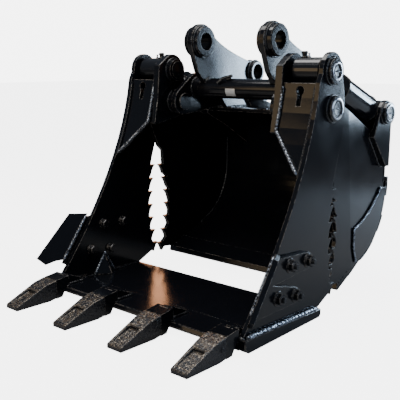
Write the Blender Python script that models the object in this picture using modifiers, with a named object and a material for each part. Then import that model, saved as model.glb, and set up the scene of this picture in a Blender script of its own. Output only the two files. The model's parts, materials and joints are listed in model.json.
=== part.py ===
"""Clamshell (four-in-one) excavator bucket: a hung back shell, a hinged front jaw and two cylinders.

Metres, +Z up. Shapes are drawn with the tooth tips at Y = 0, pointing along -Y, the ground at Z = 0 and
the middle at X = 0; at the end all of it moves back by MIDDLE_Y, so that the origin lies under the middle.
The jaw is modelled partly open. It turns about the hinge pins; each rod pin pushes its upper ends.
"""
import math

import bmesh
import bpy
from mathutils import Matrix, Vector

GAP = 0.0003
MIDDLE_Y = 0.7356

# Side planes, measured from the middle plane
JAW_OUTER = 0.532
JAW_PLATE = 0.020
RUNNING_GAP = 0.010
SHELL_PLATE = 0.020
ARM_PLATE = (0.325, 0.360)
EAR_PLATE = (0.268, 0.293)
HANGER_PLATE = (0.187, 0.214)
HANGER_BOSS = (0.165, 0.245)
CYLINDER_X = 0.436
JAW_INNER = JAW_OUTER - JAW_PLATE
SHELL_OUTER = JAW_INNER - RUNNING_GAP
SHELL_INNER = SHELL_OUTER - SHELL_PLATE

# Pin centres as (Y, Z)
HINGE = (0.857, 0.847)
ROD_PIN = (0.846, 0.993)
CYLINDER_PIN = (1.350, 0.803)
HANGER_FRONT = (0.900, 1.121)
HANGER_REAR = (1.304, 0.980)
TUBE = (0.955, 0.909)

HINGE_PIN_R = 0.034
ROD_PIN_R = 0.028
CYLINDER_PIN_R = 0.030
PIN_SEGMENTS = 24
BARREL_SEGMENTS = 28
BORE_SEGMENTS = 32
BOSS_R = 0.052
HANGER_BORE_R = 0.040
HANGER_FRONT_R = 0.069
HANGER_HEAD_R = 0.080
HANGER_REAR_R = 0.056
TUBE_R = 0.046

# Back shell: a straight bottom that runs into an arc and a straight back, as one rolled plate
WRAP_START = (1.000, 0.043)
WRAP_CENTRE = (1.110, 0.470)
WRAP_R = 0.340
WRAP_PLATE = 0.016
WRAP_TOP = 0.790
LIP_LENGTH = 0.110
LIP_PLATE = 0.030
CREASE_TOP = (1.047, 0.764)
CREASE_BOTTOM = (1.098, 0.311)
BACK_TAPER = 0.0524
TOP_PLATE_FRONT = 1.100
TOP_PLATE = 0.0195
TOP_LEVEL = 0.810
TOP_PLATE_HALF = 0.3197
BRACKET_INNER = 0.5025
BRACKET_OUTER = 0.522
BRACKET_STEP = 0.738
BAY_FLOOR = ((1.085, 0.797), (1.260, 0.723), (1.4334, 0.648))
BAY_PLATE = 0.016
HEEL_PLATE = 0.0095
WEAR_BAR_HALF = 0.490

# Jaw
FLOOR_TOP = 0.030
FLOOR_REAR = 0.790
EDGE_TOP = 0.045
EDGE_FRONT = 0.252
EDGE_REAR = 0.410
PLATE_UNDER = 0.004
SHOE_FRONT = (0.277, 0.055)
SHOE_REAR = (0.790, 0.035)
SHOE_WIDTH = 0.038
FRONT_EDGE = ((0.753, 0.950), (0.690, 0.540), (0.285, 0.0556))
BARB_PITCH = 0.068
BARB_DEPTH = 0.031
BARB_TOP = 0.519
BARBS = 7

# Teeth
TOOTH_PITCH = 0.320
TOOTH_LENGTH = 0.204
TIP_WIDTH = 0.077
TOOTH_WIDTH = 0.089
TOOTH_HEIGHT = 0.088

# Cylinders, as distances from the rear pin towards the rod pin
BARREL_R = 0.0635
BARREL_START = 0.045
CHAMBER = (0.078, 0.282)
CHAMBER_R = 0.055
GLAND_END = 0.310
ROD_R = 0.0325
PISTON = (0.210, 0.240)
EYE_R = 0.055
EYE_HALF_WIDTH = 0.058
ROD_EYE_BORE_R = 0.0415

# Side cutter blade, in its own plane: along the plate's front edge, then outwards
BLADE = ((0.001, 0.002), (0.041, 0.079), (0.292, 0.118), (0.301, 0.068), (0.265, 0.035), (0.241, 0.002))
BLADE_TOP = (0.475, 0.332)
BLADE_DOWN = (0.0, -0.593, -0.805)
BLADE_OUT = (0.583, -0.654, 0.482)
BLADE_PLATE = 0.020
FLANGE_PLATE = 0.020

# Keyhole slot in each arm front plate
KEYHOLE_X = 0.440
KEYHOLE_HALF = 0.010
KEYHOLE_R = 0.018
KEYHOLE_LOW = 0.858
KEYHOLE_TOP = 0.918

MATERIALS = {
    "gloss_black_paint": ((0.007, 0.008, 0.010), 0.20, 0.0),
    "cast_steel": ((0.060, 0.046, 0.038), 0.48, 0.75),
    "pin_steel": ((0.240, 0.240, 0.250), 0.35, 1.0),
    "chrome_rod": ((0.620, 0.630, 0.640), 0.10, 1.0),
}
PAINT = "gloss_black_paint"
SIDES = {"right": 1, "left": -1}


# ---------------------------------------------------------------- scene helpers

def new_collection(name):
    collection = bpy.data.collections.new(name)
    bpy.context.scene.collection.children.link(collection)
    return collection


def make_materials():
    made = {}
    for name, (colour, roughness, metallic) in MATERIALS.items():
        material = bpy.data.materials.new(name)
        material.use_nodes = True
        shader = material.node_tree.nodes["Principled BSDF"]
        shader.inputs["Base Color"].default_value = (*colour, 1.0)
        shader.inputs["Roughness"].default_value = roughness
        shader.inputs["Metallic"].default_value = metallic
        made[name] = material
    return made


def add_empty(name, location):
    empty = bpy.data.objects.new(name, None)
    empty.location = location
    empty.empty_display_size = 0.1
    bucket.objects.link(empty)
    return empty


def add_object(name, mesh, material=None, parent=None):
    """Links a mesh built in world metres, as a part with a material, or as a cutter with none."""
    obj = bpy.data.objects.new(name, mesh)
    if material is None:
        cutters.objects.link(obj)
        obj.hide_render = True
        obj.display_type = "WIRE"
        return obj
    bucket.objects.link(obj)
    mesh.materials.append(materials[material])
    if parent is not None:
        mesh.transform(Matrix.Translation(-parent.location))
        obj.parent = parent
    return obj


def finish_mesh(bm, name):
    bmesh.ops.recalc_face_normals(bm, faces=bm.faces)
    mesh = bpy.data.meshes.new(name)
    bm.to_mesh(mesh)
    bm.free()
    return mesh


def boolean(target, tool, operation="DIFFERENCE"):
    modifier = target.modifiers.new(f"{operation.lower()}_{tool.name}", "BOOLEAN")
    modifier.operation = operation
    modifier.solver = "EXACT"
    modifier.object = tool


def chamfer(obj, width=0.002, segments=1):
    modifier = obj.modifiers.new("edge_break", "BEVEL")
    modifier.width = width
    modifier.segments = segments
    modifier.limit_method = "ANGLE"
    modifier.angle_limit = math.radians(50)


def smooth(obj, angle=35):
    obj.data.shade_smooth()
    obj.data.set_sharp_from_angle(angle=math.radians(angle))


# ---------------------------------------------------------------- outlines in the (Y, Z) plane

def arc(centre, radius, start, stop, steps):
    """Points on an arc, with its angles in degrees from +Y towards +Z."""
    points = []
    for i in range(steps + 1):
        angle = math.radians(start + (stop - start) * i / steps)
        points.append((centre[0] + radius * math.cos(angle), centre[1] + radius * math.sin(angle)))
    return points


def bezier(start, control, stop, steps, t_from=0.0, t_to=1.0):
    points = []
    for i in range(steps + 1):
        t = t_from + (t_to - t_from) * i / steps
        weights = ((1 - t) ** 2, 2 * t * (1 - t), t * t)
        points.append(tuple(sum(w * p[k] for w, p in zip(weights, (start, control, stop))) for k in (0, 1)))
    return points


def tangent_normal(a, b):
    """The outward angle of the straight run from round corner a to round corner b."""
    run = math.atan2(b[1] - a[1], b[0] - a[0])
    distance = math.hypot(b[0] - a[0], b[1] - a[1])
    return run - math.acos(max(-1.0, min(1.0, (a[2] - b[2]) / distance)))


def belt(corners, step=15.0):
    """An anticlockwise outline round (y, z, radius) corners; a radius of 0 may be an inner corner."""
    points = []
    for i, (y, z, radius) in enumerate(corners):
        if radius == 0:
            points.append((y, z))
            continue
        enter = tangent_normal(corners[i - 1], corners[i])
        leave = tangent_normal(corners[i], corners[(i + 1) % len(corners)])
        sweep = math.degrees((leave - enter) % (2 * math.pi))
        points += arc((y, z), radius, math.degrees(enter), math.degrees(enter) + sweep,
                      max(1, math.ceil(sweep / step)))
    return points


def offset_path(points, distance):
    """Moves an open path to the left of its direction of travel."""
    moved = []
    for i, (y, z) in enumerate(points):
        before = points[max(i - 1, 0)]
        after = points[min(i + 1, len(points) - 1)]
        run = math.hypot(after[0] - before[0], after[1] - before[1])
        moved.append((y - distance * (after[1] - before[1]) / run, z + distance * (after[0] - before[0]) / run))
    return moved


def flat_mesh(name, outline, thickness, placing):
    """A flat plate cut to a 2D outline, half its thickness to each side, then placed by a matrix."""
    curve = bpy.data.curves.new(name, "CURVE")
    curve.dimensions = "2D"
    curve.fill_mode = "BOTH"
    curve.extrude = thickness / 2
    spline = curve.splines.new("POLY")
    spline.points.add(len(outline) - 1)
    for point, (across, up) in zip(spline.points, outline):
        point.co = (across, up, 0.0, 1.0)
    spline.use_cyclic_u = True
    drawn = bpy.data.objects.new(name, curve)
    mesh = bpy.data.meshes.new_from_object(drawn)
    bpy.data.objects.remove(drawn)
    bpy.data.curves.remove(curve)
    mesh.materials.clear()
    bm = bmesh.new()
    bm.from_mesh(mesh)
    bpy.data.meshes.remove(mesh)
    bmesh.ops.remove_doubles(bm, verts=bm.verts, dist=0.00005)
    bmesh.ops.dissolve_limit(bm, angle_limit=math.radians(0.3), verts=bm.verts, edges=bm.edges)
    bmesh.ops.transform(bm, matrix=placing, verts=bm.verts)
    return finish_mesh(bm, name)


def plate_mesh(name, outline, x_from, x_to):
    """A plate with a (Y, Z) outline, lying between two X planes."""
    stand_up = Matrix(((0, 0, 1, (x_from + x_to) / 2), (1, 0, 0, 0), (0, 1, 0, 0), (0, 0, 0, 1)))
    return flat_mesh(name, outline, x_to - x_from, stand_up)


def plate(name, outline, x_from, x_to, material=PAINT, parent=None, side=1, edge=0.002):
    """A plate node; its cut edges are broken before any hole is bored."""
    near, far = sorted((side * x_from, side * x_to))
    obj = add_object(name, plate_mesh(name, outline, near, far), material, parent)
    if edge:
        chamfer(obj, edge)
    return obj


def rod_mesh(name, start, stop, radius, segments=PIN_SEGMENTS):
    """A solid round bar between two points."""
    start, stop = Vector(start), Vector(stop)
    bm = bmesh.new()
    bmesh.ops.create_cone(bm, cap_ends=True, segments=segments, radius1=radius, radius2=radius,
                          depth=(stop - start).length)
    turn = (stop - start).to_track_quat("Z", "Y").to_matrix().to_4x4()
    bmesh.ops.transform(bm, matrix=Matrix.Translation((start + stop) / 2) @ turn, verts=bm.verts)
    return finish_mesh(bm, name)


def cross_bar(name, centre, radius, x_from, x_to, material=None, parent=None, side=1,
              segments=PIN_SEGMENTS):
    """A round bar along X about a (Y, Z) centre; with no material it is a cutter."""
    near, far = sorted((side * x_from, side * x_to))
    mesh = rod_mesh(name, (near, *centre), (far, *centre), radius, segments=segments)
    return add_object(name, mesh, material, parent)


def box_mesh(name, low, high):
    bm = bmesh.new()
    size = [b - a for a, b in zip(low, high)]
    middle = [(a + b) / 2 for a, b in zip(low, high)]
    bmesh.ops.create_cube(bm, size=1.0, matrix=Matrix.Translation(middle) @ Matrix.Diagonal((*size, 1.0)))
    return finish_mesh(bm, name)


def bore(target, centre, radius, x_from, x_to, side=1, segments=PIN_SEGMENTS):
    """Cuts a round hole along X through a part."""
    tool = cross_bar(f"{target.name}_bore_{len(target.modifiers)}", centre, radius, x_from, x_to, side=side,
                     segments=segments)
    place_tool(tool, target)
    boolean(target, tool)


def place_tool(tool, target):
    """Parents a cutter as its target is, so both stay together when the joint turns."""
    if target.parent is not None:
        tool.data.transform(Matrix.Translation(-target.parent.location))
        tool.parent = target.parent


def join(target, tool_name, mesh, operation="UNION"):
    tool = add_object(tool_name, mesh)
    place_tool(tool, target)
    boolean(target, tool, operation)


def turned(name, section, centre, segments=PIN_SEGMENTS, material=PAINT, parent=None):
    """A closed (radius, x) section, top to bottom down its outer side, swept about an axis along X."""
    bm = bmesh.new()
    corners = [bm.verts.new((radius, 0.0, x)) for radius, x in section]
    for a, b in zip(corners, corners[1:] + corners[:1]):
        bm.edges.new((a, b))
    mesh = bpy.data.meshes.new(name)
    bm.to_mesh(mesh)
    bm.free()
    obj = bpy.data.objects.new(name, mesh)
    bucket.objects.link(obj)
    mesh.materials.append(materials[material])
    obj.rotation_euler = (0.0, math.radians(90), 0.0)
    obj.location = (0.0, *centre)
    if parent is not None:
        obj.location = obj.location - parent.location
        obj.parent = parent
    screw = obj.modifiers.new("turn", "SCREW")
    screw.angle = math.radians(360)
    screw.steps = segments
    screw.render_steps = segments
    screw.use_merge_vertices = True
    screw.merge_threshold = 0.00005
    screw.use_smooth_shade = False
    return obj


def ring(name, centre, outer, inner, x_from, x_to, parent=None, side=1):
    """A plain collar with both outer rims broken."""
    near, far = sorted((side * x_from, side * x_to))
    rim = 0.003
    section = ((inner, far), (outer - rim, far), (outer, far - rim), (outer, near + rim), (outer - rim, near),
               (inner, near))
    return turned(name, section, centre, parent=parent)


# ---------------------------------------------------------------- shared shapes

def bottom_angle():
    """Angle and length of the straight bottom, which is tangent to the heel's arc."""
    across = WRAP_CENTRE[0] - WRAP_START[0]
    up = WRAP_CENTRE[1] - WRAP_START[1]
    reach = math.hypot(across, up)
    return math.atan2(up, across) - math.asin(WRAP_R / reach), math.sqrt(reach ** 2 - WRAP_R ** 2)


def bottom_point(along, inside):
    """A point on the straight bottom, a distance from the lip and inside the outer face."""
    angle, _ = bottom_angle()
    return (WRAP_START[0] + along * math.cos(angle) - inside * math.sin(angle),
            WRAP_START[1] + along * math.sin(angle) + inside * math.cos(angle))


def wrap_path(inside, along, top):
    """The rolled plate's profile, from the straight bottom round the heel and up the back."""
    angle, run = bottom_angle()
    curve = arc(WRAP_CENTRE, WRAP_R - inside, math.degrees(angle) - 90, 0, 14)
    return [bottom_point(along, inside), *curve, (WRAP_CENTRE[0] + WRAP_R - inside, top)]


def front_edge(steps, t_from=0.0, t_to=1.0):
    return bezier(*FRONT_EDGE, steps, t_from, t_to)


def barb(tip, root, pitch, top):
    """One barb: a flat top out to the tip, then a hollow underside back to the next root."""
    lower = (root, top - pitch)
    return [(root, top), (tip, top), *bezier((tip, top), (root + 0.1 * (tip - root), top - 0.35 * pitch),
                                             lower, 4)[1:-1]]


def crease_depth(y, z):
    """How far a point lies behind the bend line of the shell's side plates."""
    run = (CREASE_BOTTOM[0] - CREASE_TOP[0], CREASE_BOTTOM[1] - CREASE_TOP[1])
    length = math.hypot(*run)
    return -run[1] / length * (y - CREASE_TOP[0]) + run[0] / length * (z - CREASE_TOP[1])


def taper_back(obj, side=None, only_beyond=0.0):
    """Bends everything behind the crease towards the middle; the back is narrower than the front."""
    bm = bmesh.new()
    bm.from_mesh(obj.data)
    run = Vector((0.0, CREASE_BOTTOM[0] - CREASE_TOP[0], CREASE_BOTTOM[1] - CREASE_TOP[1]))
    bmesh.ops.bisect_plane(bm, geom=bm.verts[:] + bm.edges[:] + bm.faces[:], dist=0.00001,
                           plane_co=(0.0, *CREASE_TOP), plane_no=run.cross(Vector((1.0, 0.0, 0.0))))
    for vert in bm.verts:
        depth = crease_depth(vert.co.y, vert.co.z)
        toward = side if side is not None else math.copysign(1, vert.co.x)
        if depth > 0.00001 and abs(vert.co.x) > only_beyond:
            vert.co.x -= toward * depth * BACK_TAPER
    bm.to_mesh(obj.data)
    bm.free()


# ---------------------------------------------------------------- back shell

def make_back_shell():
    outer = wrap_path(0.0, LIP_LENGTH + GAP, WRAP_TOP)
    inner = wrap_path(WRAP_PLATE, LIP_LENGTH + GAP, WRAP_TOP)
    wrapper = plate("back_wrapper", outer + inner[::-1], -SHELL_OUTER, SHELL_OUTER, edge=0)
    taper_back(wrapper)
    smooth(wrapper)
    lip = [bottom_point(0.006, 0.0), bottom_point(LIP_LENGTH, 0.0), bottom_point(LIP_LENGTH, LIP_PLATE),
           bottom_point(0.016, LIP_PLATE), bottom_point(0.0, LIP_PLATE * 0.4)]
    plate("rear_lip", lip, -SHELL_OUTER, SHELL_OUTER)
    make_wear_bars()
    top_rear = WRAP_CENTRE[0] + WRAP_R
    top = [(TOP_PLATE_FRONT, TOP_LEVEL - TOP_PLATE), (top_rear, TOP_LEVEL - TOP_PLATE), (top_rear, TOP_LEVEL),
           (TOP_PLATE_FRONT, TOP_LEVEL)]
    plate("top_plate", top, -TOP_PLATE_HALF, TOP_PLATE_HALF)
    for label, side in SIDES.items():
        make_shell_side(label, side)
        make_ear(label, side)
        make_hanger(label, side)
        make_cylinder_mounts(label, side)
        make_bay_floor(label, side)
    cross_bar("torque_tube", TUBE, TUBE_R, -EAR_PLATE[0] + GAP, EAR_PLATE[0] - GAP, PAINT, segments=40)
    smooth(bpy.data.objects["torque_tube"])
    make_centre_rib()


def back_inner():
    return WRAP_CENTRE[0] + WRAP_R - WRAP_PLATE - GAP


def make_wear_bars():
    """Flat bars across the heel; each follows the rolled plate."""
    thickness = 0.021
    for number, (start, stop) in enumerate(((-11.0, 4.0), (-40.0, -26.0), (-62.0, -49.0)), 1):
        inner = arc(WRAP_CENTRE, WRAP_R + GAP, start, min(stop, 0.0), 4)
        outer = arc(WRAP_CENTRE, WRAP_R + GAP + thickness, start, min(stop, 0.0), 4)
        if stop > 0:
            rise = WRAP_R * math.radians(stop)
            inner.append((inner[-1][0], inner[-1][1] + rise))
            outer.append((outer[-1][0], outer[-1][1] + rise))
        plate(f"wear_bar_{number}", outer + inner[::-1], -WEAR_BAR_HALF, WEAR_BAR_HALF)


def make_shell_side(label, side):
    """Side plate: hinge ear at the top front, barbs down the front, back edge inside the rolled plate."""
    seat = WRAP_PLATE + GAP
    lip_end = LIP_LENGTH + GAP
    bottom = [bottom_point(0.020, LIP_PLATE + GAP), bottom_point(lip_end, LIP_PLATE + GAP)]
    back = wrap_path(seat, lip_end, 0.655)
    ear = arc(HINGE, 0.062, 62, 196, 8)
    barbs = []
    for i in range(BARBS):
        top = BARB_TOP + 0.003 - i * BARB_PITCH
        tip = 0.948 - 1.2 * (top - 0.33) ** 2
        barbs += barb(tip, tip + BARB_DEPTH, BARB_PITCH, top)
    outline = [(0.937, 0.086), *bottom, *back, (1.26, 0.730), *ear, (0.903, 0.615), (0.930, 0.590), *barbs]
    obj = plate(f"shell_side_plate_{label}", outline, SHELL_INNER, SHELL_OUTER, side=side)
    taper_back(obj, side)
    bore(obj, HINGE, HINGE_PIN_R + 0.0005, 0.45, 0.52, side)

    angle, _ = bottom_angle()
    rim = arc(WRAP_CENTRE, WRAP_R - 0.004, math.degrees(angle) - 84, -4, 12)
    weld_line = bezier((1.395, 0.452), (1.270, 0.325), (1.124, 0.302), 8)
    heel = [(1.127, 0.215), (1.158, 0.142), *rim, *weld_line]
    heel_plate = plate(f"heel_side_plate_{label}", heel, SHELL_OUTER + GAP, SHELL_OUTER + HEEL_PLATE, side=side)
    taper_back(heel_plate, side)


def make_ear(label, side):
    """Inner hinge ear: carries the hinge pin, the end of the torque tube and the top plate."""
    seat = TOP_LEVEL + GAP
    corners = [(TOP_PLATE_FRONT, seat, 0), (1.340, seat, 0), (1.300, seat + 0.045, 0.02),
               (TUBE[0], TUBE[1], TUBE_R + 0.024), (HINGE[0], HINGE[1], 0.062)]
    ear = plate(f"hinge_ear_inner_{label}", belt(corners), *EAR_PLATE, side=side)
    bore(ear, HINGE, HINGE_PIN_R + 0.0005, 0.25, 0.31, side)


def make_hanger(label, side):
    """One of the two plates that the digging arm's pins hold."""
    seat = TOP_LEVEL + GAP
    notch = arc(TUBE, TUBE_R + 0.001, -12, 148, 16)
    front = arc(HANGER_FRONT, HANGER_HEAD_R, 42, 205, 12)
    saddle = bezier((1.262, 1.034), (1.040, 1.092), (0.964, 1.163), 8)
    rear = arc(HANGER_REAR, HANGER_REAR_R - 0.008, -10, 110, 8)
    outline = [(1.085, seat), (1.420, seat), (1.420, 0.860), *rear, *saddle[1:-1], *front,
               (0.868, 0.985), *notch[::-1]]
    hanger = plate(f"hanger_plate_{label}", outline, *HANGER_PLATE, side=side)
    for centre, radius in ((HANGER_FRONT, HANGER_FRONT_R - 0.020), (HANGER_REAR, HANGER_REAR_R - 0.014)):
        bore(hanger, centre, radius, 0.15, 0.26, side, BORE_SEGMENTS)
    make_hanger_boss(f"hanger_boss_front_{label}", HANGER_FRONT, HANGER_FRONT_R, HANGER_FRONT_R - 0.020, side)
    make_hanger_boss(f"hanger_boss_rear_{label}", HANGER_REAR, HANGER_REAR_R, HANGER_REAR_R - 0.014, side)


def make_hanger_boss(name, centre, radius, neck, side):
    """A bored boss: it passes through the plate and has a wider collar on each face."""
    rim = 0.004
    waist = neck - GAP
    inner, plate_in, plate_out, outer = (side * x for x in (HANGER_BOSS[0], HANGER_PLATE[0] - GAP,
                                                            HANGER_PLATE[1] + GAP, HANGER_BOSS[1]))
    section = [(HANGER_BORE_R, outer), (radius - rim, outer), (radius, outer - side * rim), (radius, plate_out),
               (waist, plate_out), (waist, plate_in), (radius, plate_in), (radius, inner + side * rim),
               (radius - rim, inner), (HANGER_BORE_R, inner)]
    turned(name, section if side > 0 else section[::-1], centre, BORE_SEGMENTS)


def make_centre_rib():
    """A short rib that ties the middle of the torque tube to the top plate."""
    seat = TOP_LEVEL + GAP
    cup = arc(TUBE, TUBE_R + 0.001, -62, -14, 5)
    outline = [(TOP_PLATE_FRONT, seat), (1.280, seat), (1.180, 0.836), (1.040, 0.868), *cup[::-1],
               (1.020, 0.820)]
    plate("centre_rib", outline, -0.015, 0.015)


def seat_on_taper(bracket, side):
    """Below the cylinder the bracket's inner face leans in to meet the narrower back."""
    bm = bmesh.new()
    bm.from_mesh(bracket.data)
    for level in (BRACKET_STEP, BRACKET_STEP - 0.020):
        bmesh.ops.bisect_plane(bm, geom=bm.verts[:] + bm.edges[:] + bm.faces[:], dist=0.00001,
                               plane_co=(0.0, 0.0, level), plane_no=(0.0, 0.0, 1.0))
    for vert in bm.verts:
        if abs(vert.co.x) < BRACKET_INNER + 0.001 and vert.co.z < BRACKET_STEP - 0.010:
            vert.co.x = side * (SHELL_OUTER + GAP - crease_depth(vert.co.y, vert.co.z) * BACK_TAPER)
    bm.to_mesh(bracket.data)
    bm.free()


def make_cylinder_mounts(label, side):
    """The two brackets that hold a cylinder's rear pin, and that pin."""
    y, z = CYLINDER_PIN
    sweep = bezier((1.372, 0.556), (1.300, 0.640), (1.243, 0.700), 6)
    outer = [(1.405, 0.556), *arc(CYLINDER_PIN, 0.057, 0, 180, 12), (1.262, 0.740), *sweep[::-1]]
    name = f"cylinder_bracket_outer_{label}"
    bracket = plate(name, outer, BRACKET_INNER, BRACKET_OUTER, side=side)
    seat_on_taper(bracket, side)
    low, high = sorted((side * (BRACKET_OUTER - 0.005), side * 0.540))
    join(bracket, f"{name}_boss", rod_mesh(f"{name}_boss", (low, *CYLINDER_PIN), (high, *CYLINDER_PIN), 0.050))
    bore(bracket, CYLINDER_PIN, CYLINDER_PIN_R + 0.0005, 0.46, 0.56, side)

    foot = back_inner()
    inner = [(TOP_PLATE_FRONT, 0.775, 0.0), (1.260, 0.700, 0.0), (foot, 0.600, 0.0),
             (foot, WRAP_TOP + 0.020, 0.0), (y, z, 0.057), (1.276, 0.795, 0.0), (TOP_PLATE_FRONT, 0.795, 0.0)]
    support = plate(f"cylinder_bracket_inner_{label}", belt(inner), *ARM_PLATE, side=side)
    bore(support, CYLINDER_PIN, CYLINDER_PIN_R + 0.0005, 0.30, 0.38, side)
    pin = cross_bar(f"cylinder_pin_{label}", CYLINDER_PIN, CYLINDER_PIN_R, 0.3203, 0.542, "pin_steel", side=side)
    chamfer(pin, 0.002)
    smooth(pin)


def make_bay_floor(label, side):
    """The sloping plate under a cylinder; it closes the shell between the inner bracket and the side."""
    under = [(y, z - BAY_PLATE) for y, z in BAY_FLOOR]
    floor = plate(f"cylinder_bay_floor_{label}", under + list(BAY_FLOOR[::-1]), ARM_PLATE[1] + GAP,
                  SHELL_INNER - GAP, side=side)
    taper_back(floor, side, only_beyond=CYLINDER_X)


# ---------------------------------------------------------------- jaw

def make_jaw():
    half = JAW_INNER - GAP
    edge = [(0.290, PLATE_UNDER), (EDGE_REAR - GAP, PLATE_UNDER), (EDGE_REAR - GAP, EDGE_TOP),
            (EDGE_FRONT + 0.010, EDGE_TOP), (EDGE_FRONT, EDGE_TOP - 0.015)]
    plate("cutting_edge", edge, -half, half, parent=jaw)
    floor = [(EDGE_REAR, PLATE_UNDER), (FLOOR_REAR - 0.008, PLATE_UNDER), (FLOOR_REAR, PLATE_UNDER + 0.008),
             (FLOOR_REAR, FLOOR_TOP), (EDGE_REAR, FLOOR_TOP)]
    plate("jaw_floor", floor, -half, half, parent=jaw)
    for label, side in SIDES.items():
        make_jaw_side(label, side)
        make_arm(label, side)
        make_side_cutter(label, side)
        make_jaw_pins(label, side)
    for number in range(4):
        centre = (number - 1.5) * TOOTH_PITCH
        make_adapter(f"tooth_adapter_{number + 1}", centre)
        make_tooth(f"tooth_{number + 1}", centre)


def make_jaw_side(label, side):
    """Outer side plate: pin head at the top, hollow front edge, barbed rear edge."""
    head = arc(ROD_PIN, 0.075, -8, 186, 14)
    edge = front_edge(12)
    barbs = []
    for i in reversed(range(BARBS)):
        top = BARB_TOP - i * BARB_PITCH
        tip = 0.887 + 0.58 * (top - 0.345) ** 2
        barbs += barb(tip, tip - BARB_DEPTH, BARB_PITCH, top)[::-1]
    shoe_end = (SHOE_REAR[0], SHOE_REAR[1] + GAP)
    rear = [(0.880, 0.545), (0.911, 0.644), (0.938, 0.715), (0.950, 0.775), (0.952, 0.840), (0.940, 0.920)]
    outline = [*edge[:-1], (0.285, SHOE_FRONT[1] + GAP), shoe_end, (0.896, 0.083), *barbs, *rear, *head]
    obj = plate(f"jaw_side_plate_{label}", outline, JAW_INNER, JAW_OUTER, parent=jaw, side=side)
    for centre, radius in ((HINGE, HINGE_PIN_R), (ROD_PIN, ROD_PIN_R)):
        bore(obj, centre, radius + GAP, 0.48, 0.55, side)
    shoe = [(0.300, 0.0), (0.778, 0.0), (SHOE_REAR[0], 0.010), SHOE_REAR, SHOE_FRONT, (0.277, 0.016)]
    plate(f"skid_shoe_{label}", shoe, JAW_INNER, JAW_INNER + SHOE_WIDTH, parent=jaw, side=side, edge=0.003)


def make_arm(label, side):
    """The box arm over the side plate: an inner plate with two bosses, and a front plate."""
    corners = [(0.728, 0.752, 0.008), (HINGE[0], HINGE[1], 0.078), (ROD_PIN[0], ROD_PIN[1], 0.072),
               (0.762, 1.010, 0.010), (0.740, 0.860, 0)]
    inner = plate(f"arm_inner_plate_{label}", belt(corners), *ARM_PLATE, parent=jaw, side=side)
    for centre, number in ((HINGE, 1), (ROD_PIN, 2)):
        low, high = sorted((side * 0.299, side * (ARM_PLATE[0] + 0.005)))
        name = f"arm_inner_plate_{label}_boss_{number}"
        join(inner, name, rod_mesh(name, (low, *centre), (high, *centre), 0.050))
    for centre, radius in ((HINGE, HINGE_PIN_R), (ROD_PIN, ROD_PIN_R)):
        bore(inner, centre, radius + GAP, 0.28, 0.38, side)

    face = offset_path(front_edge(6, 0.0, 0.42), 0.008)
    rear = offset_path(front_edge(6, 0.0, 0.42), 0.028)
    front = plate(f"arm_front_plate_{label}", face + rear[::-1], ARM_PLATE[1] + GAP, JAW_INNER - GAP,
                  parent=jaw, side=side, edge=0)
    trim_front_plate(front, side)
    keyhole = box_mesh(f"keyhole_slot_{label}", (KEYHOLE_X - KEYHOLE_HALF, 0.68, KEYHOLE_LOW),
                       (KEYHOLE_X + KEYHOLE_HALF, 0.80, KEYHOLE_TOP))
    keyhole_top = rod_mesh(f"keyhole_top_{label}", (KEYHOLE_X, 0.68, KEYHOLE_TOP), (KEYHOLE_X, 0.80, KEYHOLE_TOP),
                           KEYHOLE_R, segments=16)
    for mesh in (keyhole, keyhole_top):
        if side < 0:
            mesh.transform(Matrix.Scale(-1, 4, (1, 0, 0)))
            mesh.flip_normals()
        join(front, mesh.name, mesh, "DIFFERENCE")
    chamfer(front, 0.0015)


def trim_front_plate(front, side):
    """Cuts the plate's lower inner corner on the slant, so that it runs to a point on the side plate."""
    bm = bmesh.new()
    bm.from_mesh(front.data)
    low = Vector((side * (JAW_INNER - GAP), 0.0, 0.600)) - jaw.location
    high = Vector((side * ARM_PLATE[1], 0.0, 0.760)) - jaw.location
    slant = high - low
    slant.y = 0.0
    normal = slant.cross(Vector((0.0, 1.0, 0.0))) * side
    if normal.z > 0:
        normal.negate()
    cut = bmesh.ops.bisect_plane(bm, geom=bm.verts[:] + bm.edges[:] + bm.faces[:], dist=0.00001,
                                 plane_co=low, plane_no=normal, clear_outer=True)
    rim = [item for item in cut["geom_cut"] if isinstance(item, bmesh.types.BMEdge)]
    bmesh.ops.holes_fill(bm, edges=rim)
    bmesh.ops.recalc_face_normals(bm, faces=bm.faces)
    bm.to_mesh(front.data)
    bm.free()


def make_side_cutter(label, side):
    """Bolted side cutter: a flange on the side plate and a blade that stands out from its edge."""
    flange = belt([(0.332, 0.120, 0.006), (0.590, 0.146, 0.032), (0.438, 0.220, 0), (0.672, 0.267, 0.034),
                   (0.464, 0.311, 0.006)])
    obj = plate(f"side_cutter_{label}", flange, JAW_OUTER + GAP, JAW_OUTER + FLANGE_PLATE, parent=jaw, side=side,
                edge=0)
    down, out = Vector(BLADE_DOWN).normalized(), Vector(BLADE_OUT).normalized()
    behind = out.cross(down)
    middle = Vector((JAW_OUTER + GAP, *BLADE_TOP)) + behind * BLADE_PLATE / 2
    placing = Matrix.Translation(middle) @ Matrix((down, out, behind)).transposed().to_4x4()
    if side < 0:
        placing = Matrix.Scale(-1, 4, (1, 0, 0)) @ placing
    name = f"side_cutter_{label}_blade"
    join(obj, name, flat_mesh(name, BLADE, BLADE_PLATE, placing))
    chamfer(obj, 0.002)


def make_jaw_pins(label, side):
    for kind, centre, radius, inner in (("hinge", HINGE, HINGE_PIN_R, 0.262), ("rod", ROD_PIN, ROD_PIN_R, 0.296)):
        ring(f"{kind}_boss_{label}", centre, BOSS_R, radius + GAP, JAW_OUTER + GAP, JAW_OUTER + 0.020,
             parent=jaw, side=side)
        pin = cross_bar(f"{kind}_pin_{label}", centre, radius, inner, JAW_OUTER + 0.015, "pin_steel", jaw, side)
        chamfer(pin, 0.002)
        smooth(pin)


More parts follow.
